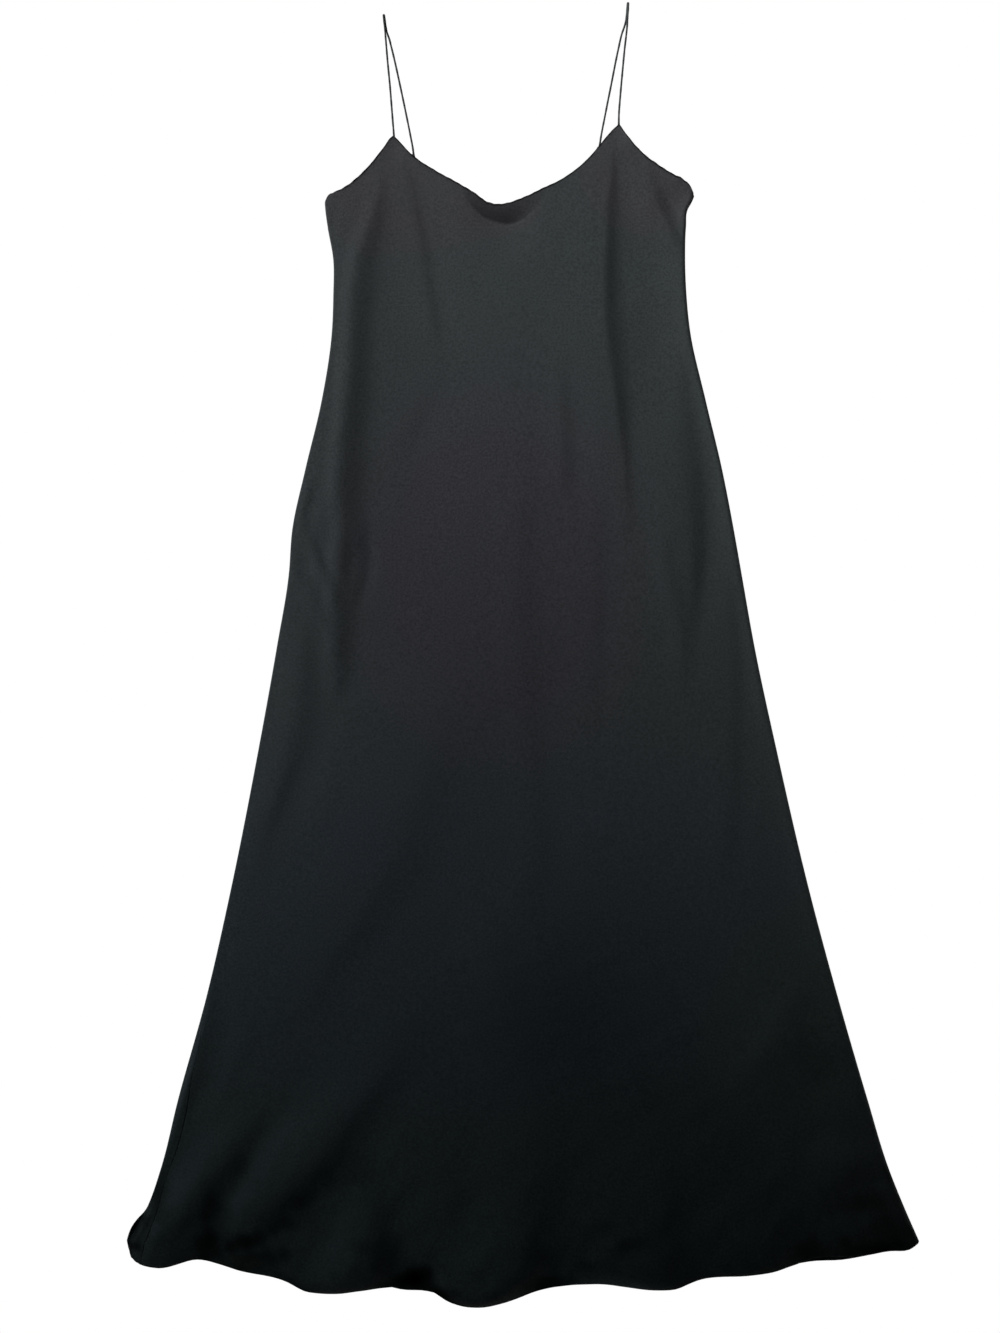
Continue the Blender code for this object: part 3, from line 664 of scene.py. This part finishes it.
def cowl_painted_shade(x, y):
    """The painted shade behind the lip and just below it, as the share of the colour it takes away.
    """
    lip, _, above = at_cowl(x, y)
    clear = np.interp(x, (COWL_LIP[0][0], COWL_LIP[-1][0]), (COWL_CLEAR_LEFT, COWL_CLEAR_RIGHT))
    below = bell((lip - y) / COWL_SHADE_BELOW)
    return smooth(COWL_PAINTED_SHADE)(x) * np.where(y > lip, 1 - clear * above, below)


def rumple_rise(x, y, from_hem):
    """Soft uneven rumples, higher near the hem."""
    slant_x, slant_y = RUMPLE_SLANT
    rumple = wobble(x + y / slant_x, y - x / slant_y, RUMPLE_SCALE, RUMPLE_SEEDS[0])
    fine = wobble(y, x, RUMPLE_SCALE / RUMPLE_FINER, RUMPLE_SEEDS[1])
    height = RUMPLE + RUMPLE_HEM * np.exp(-np.maximum(from_hem, 0) / RUMPLE_FADE)
    return (rumple + RUMPLE_FINE * fine) * height


def relief_kept(x, y, from_hem):
    """The share of its relief that the front keeps, near its hem and the straps that hold it."""
    kept = 1 - HEM_ROLL * np.exp(-np.maximum(from_hem, 0) / HEM_ROLL_FADE)
    for point_x, point_y in points_of(FRONT_TOP):
        away = (x - point_x) ** 2 + (y - point_y) ** 2
        kept = kept * (1 - np.exp(-away / POINT_HELD ** 2))
    return kept


def front_relief(x, y):
    """How far the front stands above the height where it lies flat on the back."""
    from_left, from_right = x - LEFT_EDGE(y), RIGHT_EDGE(y) - x
    from_hem = y - FRONT_HEM_Y(x)
    loft = LOFT * (1 - np.exp(-from_left / LOFT_LEFT)) * (1 - np.exp(-from_right / LOFT_RIGHT))
    folds = sum(fold_rise(fold, x, y) for fold in FOLDS) + cowl_rise(x, y)
    folds = folds + sum(mound.height * bell(away_from(mound, x, y)) for mound in MOUNDS)
    folds = folds + HEM_SWELL * bell((from_hem - HEM_SWELL_AT) / HEM_SWELL_HALF)
    folds = folds + rumple_rise(x, y, from_hem)
    from_side = np.minimum(from_left, from_right)
    relief = loft + folds * (1 - bell(from_side / RELIEF_STARTS))
    return np.maximum(relief, LOWEST_RELIEF) * relief_kept(x, y, from_hem)


def painted_shade_and_highlight(x, y, from_top, from_hem):
    """Painted shade in deep folds and along the edges, and a painted highlight at the hem's lip."""
    left = 1 - cowl_painted_shade(x, y)
    # Painted shade from the patches, with ragged outlines
    for shade_patch in SHADE_PATCHES:
        ragged = 1 + DARK_RAGGED * wobble(x, y, DARK_RAGGED_SCALE, shade_patch.x)
        left = left * (1 - shade_patch.share * bell(away_from(shade_patch, x, y) * ragged))
    # Painted shade along the turned top edge, broken into dashes
    dashes = np.clip(1 + DASH_DEPTH * wobble(x, y, EDGE_DASH, DASH_SEED), 0, 1)
    width = np.interp(x, *np.array(EDGE_SHADE_WIDTH).T)
    top = EDGE_PAINTED_SHADE * dashes * np.exp(-(from_top / width) ** EDGE_SHADE_POWER)
    # Painted shade along the hem, and a painted highlight where its share is negative
    hem = np.interp(x, *np.array(HEM_SHADE_AND_HIGHLIGHT).T) * np.exp(-(from_hem / HEM_SHADE_WIDTH) ** 2)
    return left * (1 - top) * (1 - hem)


def blacks(x, y):
    """The cloth's colour at each place: red, green, blue and alpha."""
    colour = np.ones((*x.shape, 4))
    colour[..., :3] = GREEN_BLACK
    for patch in PATCHES:
        share = np.clip(PATCH_CORE * bell(away_from(patch, x, y)), 0, 1)[..., None]
        colour[..., :3] += share * (np.array(patch.black) - colour[..., :3])
    return colour


def section(path, y):
    """Cross-section of the flattened dress at y: x, z and the outward normal's x and z.

    path is the way along the section from the left edge: over the front for positive values, to
    the right edge at path_length(y), and under the back for negative ones.
    """
    left, right = LEFT_EDGE(y), RIGHT_EDGE(y)
    way = np.abs(path)
    side = np.where(path < 0, -1, 1)
    to_right = path_length(y) - way
    on_left, on_right = way < SIDE_ARC, to_right < SIDE_ARC
    turn = np.where(on_left, way, np.where(on_right, to_right, SIDE_ARC)) / SIDE_RADIUS
    bulge = SIDE_RADIUS * (1 - np.cos(turn))
    x = np.where(on_left, left + bulge, left + SIDE_RADIUS + way - SIDE_ARC)
    x = np.where(on_right, right - bulge, x)
    z = SIDE_RADIUS * (1 + side * np.sin(turn))
    x, z = curled(path, y, x, z)
    return x, z, np.where(on_left, -1, 1) * np.cos(turn), side * np.sin(turn)


def path_length(y):
    """The way over the front from the left edge to the right one."""
    return RIGHT_EDGE(y) - LEFT_EDGE(y) - 2 * SIDE_RADIUS + 2 * SIDE_ARC


def curled(path, y, x, z):
    """x and z of a place in the section, moved by the curl at the left hem corner."""
    curl = CURL(y)
    curl_x, curl_z = np.array(CURL_SECTION).T
    steps = np.arange(len(CURL_SECTION))
    at = (1 - path / SIDE_ARC) / 2 * steps[-1]
    past_edge = np.abs(path) - SIDE_ARC
    edge_x, edge_z = LEFT_EDGE(y) + np.interp(at, steps, curl_x), np.interp(at, steps, curl_z)
    pulled = (curl_x[-1] - SIDE_RADIUS) * bell(past_edge / CURL_UNDER)
    moved = np.where(past_edge < 0, edge_x - x, np.where(path < 0, pulled, 0))
    raised = np.where(past_edge < 0, edge_z - z, 0)
    return x + curl * moved, z + curl * raised


def point_shares(top, columns):
    """Shares of the width between the edge steps, with a column on each of the panel's points."""
    start = UNDERARM.left + EDGE_STEPS[-1]
    room = UNDERARM.right - EDGE_STEPS[-1] - start
    points = [(point[0] - start) / room for point in points_of(top)]
    stops = np.cumsum((0,) + columns)
    return np.interp(np.arange(1, stops[-1]), stops, [0, *points, 1])


def spread(shares):
    """Each column's share of the way from edge to edge, and its step past that, in mm.

    The columns stand at the edge steps from both edges, and by shares of the room between.
    """
    steps = np.array(EDGE_STEPS)
    share = np.concatenate([np.zeros(len(steps)), shares, np.ones(len(steps))])
    step = np.concatenate([steps, steps[-1] * (1 - 2 * shares), -steps[::-1]])
    return share, step


def edge_rows(steps):
    """Distance from the edge and depth of each row that a turned edge and the steps give."""
    turned = list(zip(*TURNED_EDGE))
    return [*turned[0], *steps], [*turned[1], *(0.0 for step in steps)]


def heights(hem_y, top_y, count):
    """y and depth of each row of a panel, for arrays of the hem's and the top edge's y."""
    hem, hem_depths = edge_rows(HEM_STEPS)
    top, top_depths = edge_rows(TOP_STEPS)
    low, high = hem_y + hem[-1], top_y - top[-1]
    rows = [hem_y + distance for distance in hem]
    rows += [low + share * (high - low) for share in np.linspace(0, 1, count + 2)[1:-1]]
    rows += [top_y - distance for distance in reversed(top)]
    depths = hem_depths + [0.0] * count + top_depths[::-1]
    return np.array(rows), np.array(depths)[:, None]


def places(path, y, depth, hem_y, top_y):
    """Where a panel's cloth is, as x, y and z, and its painted shade and highlight and its black
    there.
    """
    x, z, normal_x, normal_z = section(path, y)
    z = z + np.where(normal_z > FACING_UP, front_relief(x, y), 0)
    from_seam = np.minimum(np.abs(path - ROLL(y)), path_length(y) - np.abs(path))
    depth = depth + SEAM_DIP * np.exp(-(from_seam / SEAM_WIDTH) ** 2)
    # Painted shade and highlight at each place
    light = painted_shade_and_highlight(x, y, top_y - y, y - hem_y)
    return x - normal_x * depth, y, z - normal_z * depth, light, blacks(x, y)


def front_places():
    """The front's places, from its seam on the left to the right edge."""
    share, step = spread(point_shares(FRONT_TOP, FRONT_COLUMNS))
    seam_x = HEM_CORNER.left + ROLL(HEM_CORNER.y)
    hem_x = seam_x + share * (HEM_CORNER.right - seam_x) + step
    top_x = UNDERARM.left + share * (UNDERARM.right - UNDERARM.left) + step
    hem_y = FRONT_HEM_Y(hem_x)
    wave = wobble(top_x, top_x, EDGE_DASH, EDGE_WAVE_SEED)
    top_y = top_height(FRONT_TOP, top_x) + EDGE_WAVE * wave
    y, depth = heights(hem_y, top_y, FRONT_ROWS)
    start = ROLL(y) + SEAM_GAP
    path = start + share * (path_length(y) - SEAM_GAP - start) + step
    return places(path, y, depth, hem_y, top_y)


def roll_path(roll):
    """The back's way from the left seam, round the edge, to the start of the underside."""
    middle = np.minimum(SIDE_ARC, ROLL_MIDDLE_IN * roll - ROLL_MIDDLE_BACK * SIDE_ARC)
    around = np.linspace(0, 1, ROLL_COLUMNS)
    on_top = roll - SEAM_GAP + around / ROLL_MIDDLE * (middle - roll + SEAM_GAP)
    on_edge = middle - (around - ROLL_MIDDLE) / (1 - ROLL_MIDDLE) * (middle + SIDE_ARC)
    return np.where(around < ROLL_MIDDLE, on_top, on_edge)


def back_places():
    """The back's places, from the seam on the left, round the edge and along the underside."""
    share, step = spread(point_shares(BACK_TOP, BACK_COLUMNS))
    under = np.searchsorted(EDGE_STEPS, SIDE_ARC)
    share, step = share[under:], step[under:]
    columns = ROLL_COLUMNS + len(share)

    def paths(y):
        rolled = roll_path(ROLL(y[..., :ROLL_COLUMNS]))
        rest = -share * (path_length(y[..., ROLL_COLUMNS:]) - SEAM_GAP) - step
        return np.concatenate([rolled, rest], axis=-1)

    hem_path = paths(np.full(columns, HEM_CORNER.y, float))
    top_path = paths(np.full(columns, UNDERARM.y, float))
    hem_x = np.minimum(HEM_CORNER.left + np.abs(hem_path), HEM_CORNER.right)
    top_x = np.minimum(UNDERARM.left + np.abs(top_path), UNDERARM.right)
    on_front = np.clip((hem_path + SIDE_ARC) / (2 * SIDE_ARC), 0, 1)
    hem_y = smooth(BACK_HEM)(hem_x) * (1 - on_front) + FRONT_HEM_Y(hem_x) * on_front
    top_y = top_height(BACK_TOP, top_x)
    y, depth = heights(hem_y, top_y, BACK_ROWS)
    return places(paths(y), y, depth, hem_y, top_y)


def add_object(name, body, material):
    """A smooth object in the scene, from a bmesh that is used up."""
    mesh = bpy.data.meshes.new(name)
    body.to_mesh(mesh)
    body.free()
    mesh.shade_smooth()
    mesh.materials.append(material)
    obj = bpy.data.objects.new(name, mesh)
    bpy.context.scene.collection.objects.link(obj)
    return obj


def make_shell(name, cloth, material, flip=False):
    """A panel's wall on a grid of its places, whose faces point out of the dress."""
    x, y, z, light, colour = cloth
    rows, columns = x.shape
    grid = bmesh.new()
    bmesh.ops.create_grid(grid, x_segments=columns - 1, y_segments=rows - 1, size=0.5)
    order = np.array([vert.co[:2] for vert in grid.verts]) + 0.5
    row = np.rint(order[:, 1] * (rows - 1)).astype(int)
    column = np.rint(order[:, 0] * (columns - 1)).astype(int)
    for vert, i, j in zip(grid.verts, row, column):
        vert.co = (x[i, j] * METRES, y[i, j] * METRES, z[i, j] * METRES)
    if flip:
        bmesh.ops.reverse_faces(grid, faces=grid.faces)
    shell = add_object(name, grid, material)
    # The painted shade and highlight at each place, which scale the cloth's colour and sheen
    lights = shell.data.attributes.new("painted_shade_and_highlight", "FLOAT", "POINT")
    lights.data.foreach_set("value", light[row, column])
    blacks_there = shell.data.attributes.new("black", "FLOAT_COLOR", "POINT")
    blacks_there.data.foreach_set("color", colour[row, column].ravel())
    wall = shell.modifiers.new("cloth", "SOLIDIFY")
    wall.thickness = CLOTH * METRES
    wall.offset = -1
    return shell


def way_along(route):
    """Each point's distance from the route's start."""
    steps = np.linalg.norm(np.diff(route, axis=0), axis=1)
    return np.concatenate([[0], np.cumsum(steps)])


def points_along(passed, step):
    """Points about a step apart on a smooth curve through the places passed."""
    passed = np.array(passed, float)
    at = way_along(passed)
    stops = np.linspace(0, at[-1], round(at[-1] / step) + 1)
    return np.stack([smooth(list(zip(at, axis)))(stops) for axis in passed.T], axis=1)


def strap_route(strap):
    """Up the front leg, round the fold at the shoulder and down the back leg."""
    turns = np.linspace(0, math.pi, STRAP_FOLD_STEPS + 1)
    fold = np.stack([
        strap.fold_x - strap.back_side * STRAP_FOLD_LEAN * np.cos(turns),
        strap.fold_y + STRAP_FOLD_REACH * np.sin(turns),
        STRAP_Z + STRAP_FOLD_RISE * (1 + np.cos(turns)),
    ], axis=1)
    up = points_along(strap.front_leg + (tuple(fold[0]),), STRAP_STEP)
    down = points_along(strap.back_leg + (tuple(fold[-1]),), STRAP_STEP)[::-1]
    return np.concatenate([up, fold[1:-1], down])


def strap_radius(along, turns):
    """The strap's radius all round, a little uneven, with the dip of its sewn seam."""
    seam = STRAP_SEAM + STRAP_TWIST * along + STRAP_SWAY * np.sin(along / STRAP_SWAY_SCALE)
    away = np.abs((turns - seam[:, None] + math.pi) % (2 * math.pi) - math.pi)
    uneven = 1
    for share, scale, start in STRAP_BUMPS:
        uneven = uneven + share * np.sin(along / scale + start)
    dip = STRAP_SEAM_DEPTH * np.exp(-(away / STRAP_SEAM_WIDTH) ** 2)
    return STRAP_RADIUS * uneven[:, None] - dip


def strap_rings(route):
    """Rings of points round the route, flatter towards both of its ends."""
    along = way_along(route)
    forward = np.gradient(route, axis=0)
    forward /= np.linalg.norm(forward, axis=1)[:, None]
    across = np.cross(forward, (0.0, 0.0, 1.0))
    across /= np.linalg.norm(across, axis=1)[:, None]
    rise = np.cross(across, forward)
    turns = np.arange(STRAP_SIDES) * 2 * math.pi / STRAP_SIDES
    radius = strap_radius(along, turns)
    from_end = np.minimum(along, along[-1] - along)
    flat = np.interp(from_end, (0, STRAP_ROOT), (STRAP_ROOT_FLAT, 1))[:, None]
    to_side = (radius * np.cos(turns) * (2 - flat) ** 0.5)[:, :, None]
    to_top = (radius * np.sin(turns) * flat)[:, :, None]
    return route[:, None, :] + across[:, None, :] * to_side + rise[:, None, :] * to_top


def make_strap(strap, material):
    """A closed tube along the strap's route."""
    tube = bmesh.new()
    rings = [
        [tube.verts.new(point) for point in ring]
        for ring in strap_rings(strap_route(strap)) * METRES
    ]
    for low, high in zip(rings, rings[1:]):
        for i in range(STRAP_SIDES):
            j = (i + 1) % STRAP_SIDES
            tube.faces.new((low[i], low[j], high[j], high[i]))
    tube.faces.new(rings[0][::-1])
    tube.faces.new(rings[-1])
    bmesh.ops.recalc_face_normals(tube, faces=tube.faces)
    return add_object(strap.name + "_rouleau", tube, material)


def feed(tree, node, inputs):
    """Gives a node's inputs their values, or links them to other nodes' outputs."""
    for name, value in inputs.items():
        if isinstance(value, bpy.types.NodeSocket):
            tree.links.new(value, node.inputs[name])
        else:
            node.inputs[name].default_value = value


def add_node(tree, kind, inputs, **settings):
    """A new shader node with these settings and inputs."""
    node = tree.nodes.new(kind)
    for name, value in settings.items():
        setattr(node, name, value)
    feed(tree, node, inputs)
    return node


def new_material(name):
    """A new material, its node tree and its shader."""
    material = bpy.data.materials.new(name)
    material.use_nodes = True
    return material, material.node_tree, material.node_tree.nodes["Principled BSDF"]


def black_crepe(name, black=None):
    """Black crepe with a pebbled grain and a slow change of tint.

    Without a black of its own it takes the blacks, and the painted shade and highlight, stored on
    the mesh.
    """
    material, tree, shader = new_material(name)
    place = add_node(tree, "ShaderNodeTexCoord", {}).outputs["Object"]

    def noise(scale, detail):
        inputs = {"Vector": place, "Scale": scale, "Detail": detail}
        return add_node(tree, "ShaderNodeTexNoise", inputs).outputs["Fac"]

    def between(value, low, high):
        inputs = {"Value": value, "To Min": low, "To Max": high}
        return add_node(tree, "ShaderNodeMapRange", inputs, clamp=False).outputs["Result"]

    def stored(name):
        return add_node(tree, "ShaderNodeAttribute", {}, attribute_name=name).outputs

    def product(kind, output, inputs, operation="MULTIPLY"):
        return add_node(tree, kind, inputs, operation=operation).outputs[output]

    mottle_and_shade = between(noise(MOTTLE_SCALE, FINE_DETAIL), 1 - MOTTLE, 1 + MOTTLE)
    if black is None:
        black = stored("black")["Color"]
        # Painted shade and highlight scale the mottle, and through it the colour and the specular
        # level
        mottle_and_shade = product("ShaderNodeMath", "Value", {0: mottle_and_shade, 1: stored("painted_shade_and_highlight")["Fac"]})
    drift = add_node(tree, "ShaderNodeMix", {
        "Factor": noise(DRIFT_SCALE, DRIFT_DETAIL),
        "A": (*DRIFT_TINTS[0], 1.0),
        "B": (*DRIFT_TINTS[1], 1.0),
    }, data_type="RGBA")
    tinted = product("ShaderNodeVectorMath", "Vector", {0: black, 1: drift.outputs["Result"]})
    colour = product("ShaderNodeVectorMath", "Vector", {0: tinted, "Scale": mottle_and_shade}, "SCALE")
    bump = add_node(tree, "ShaderNodeBump", {
        "Height": noise(GRAIN_SCALE, FINE_DETAIL),
        "Strength": GRAIN_STRENGTH,
        "Distance": GRAIN_DEPTH * METRES,
    })
    feed(tree, shader, {
        "Base Color": colour,
        "Roughness": CREPE_ROUGHNESS,
        "Specular IOR Level": between(mottle_and_shade, 0.0, CREPE_SPECULAR),
        "Specular Tint": (*CREPE_SHEEN, 1.0),
        "Normal": bump.outputs["Normal"],
    })
    return material


def make_floor():
    """A plain floor that glows pure white, so that the lamps leave no patches or shadows on it."""
    bpy.ops.mesh.primitive_plane_add(size=FLOOR_WIDTH)
    floor = bpy.context.object
    floor.name = "floor"
    floor.location.z = -FLOOR_GAP * METRES
    material, tree, shader = new_material("floor_white")
    feed(tree, shader, {
        "Base Color": BLACK,
        "Roughness": 1.0,
        "Specular IOR Level": 0.0,
        "Emission Color": WHITE,
        "Emission Strength": 1.0,
    })
    floor.data.materials.append(material)


def spot_light(lamp):
    """A soft spot light, which the camera doesn't see."""
    data = bpy.data.lights.new(lamp.name, "SPOT")
    way = Vector(lamp.aim) - Vector(lamp.place)
    data.spot_size = 2 * math.atan(lamp.reach / way.length)
    data.spot_blend = 1.0
    data.shadow_soft_size = LAMP_SOFTNESS
    data.energy = lamp.watts
    data.color = lamp.colour
    light = bpy.data.objects.new(lamp.name, data)
    light.location = lamp.place
    light.rotation_mode = "QUATERNION"
    light.rotation_quaternion = way.to_track_quat("-Z", "Y")
    light.visible_camera = False
    bpy.context.scene.collection.objects.link(light)


def make_world():
    """White to the camera, and only a dim fill on the cloth."""
    world = bpy.data.worlds.new("studio")
    bpy.context.scene.world = world
    world.use_nodes = True
    tree = world.node_tree
    to_camera = add_node(tree, "ShaderNodeLightPath", {}).outputs["Is Camera Ray"]
    strength = add_node(tree, "ShaderNodeMapRange", {
        "Value": to_camera,
        "To Min": WORLD_FILL,
        "To Max": 1.0,
    })
    feed(tree, tree.nodes["Background"], {
        "Color": WHITE,
        "Strength": strength.outputs["Result"],
    })


def make_camera():
    """A camera straight above, as high as the scale of the top of the dress asks for."""
    data = bpy.data.cameras.new("camera")
    data.lens = LENS
    data.sensor_width = SENSOR
    height = FRAME_HEIGHT_PIXELS * MM_PER_PIXEL * LENS / SENSOR
    camera = bpy.data.objects.new("camera", data)
    camera.location = (CAMERA_X * METRES, CAMERA_Y * METRES, (height + FRONT_TOP_Z) * METRES)
    bpy.context.scene.collection.objects.link(camera)
    bpy.context.scene.camera = camera


def dress(obj, *nodes, slot="crepe"):
    """Gives a piece its body and hides the nodes that it replaces; slot is not used."""
    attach(obj, "root")
    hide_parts(*nodes)


def main():
    bpy.context.scene.view_settings.view_transform = "Standard"
    make_camera()
    make_world()
    make_floor()
    for lamp in LAMPS:
        spot_light(lamp)

    crepe = black_crepe("black_crepe")
    rouleau = black_crepe("strap_crepe", STRAP_BLACK)
    back = make_shell("back_shell", back_places(), crepe, flip=True)
    front = make_shell("front_shell", front_places(), crepe)
    dress(back, "back_panel")
    dress(front, "front_panel")
    for strap in STRAPS:
        rouleau_tube = make_strap(strap, rouleau)
        dress(rouleau_tube, strap.name, slot="strap")


main()
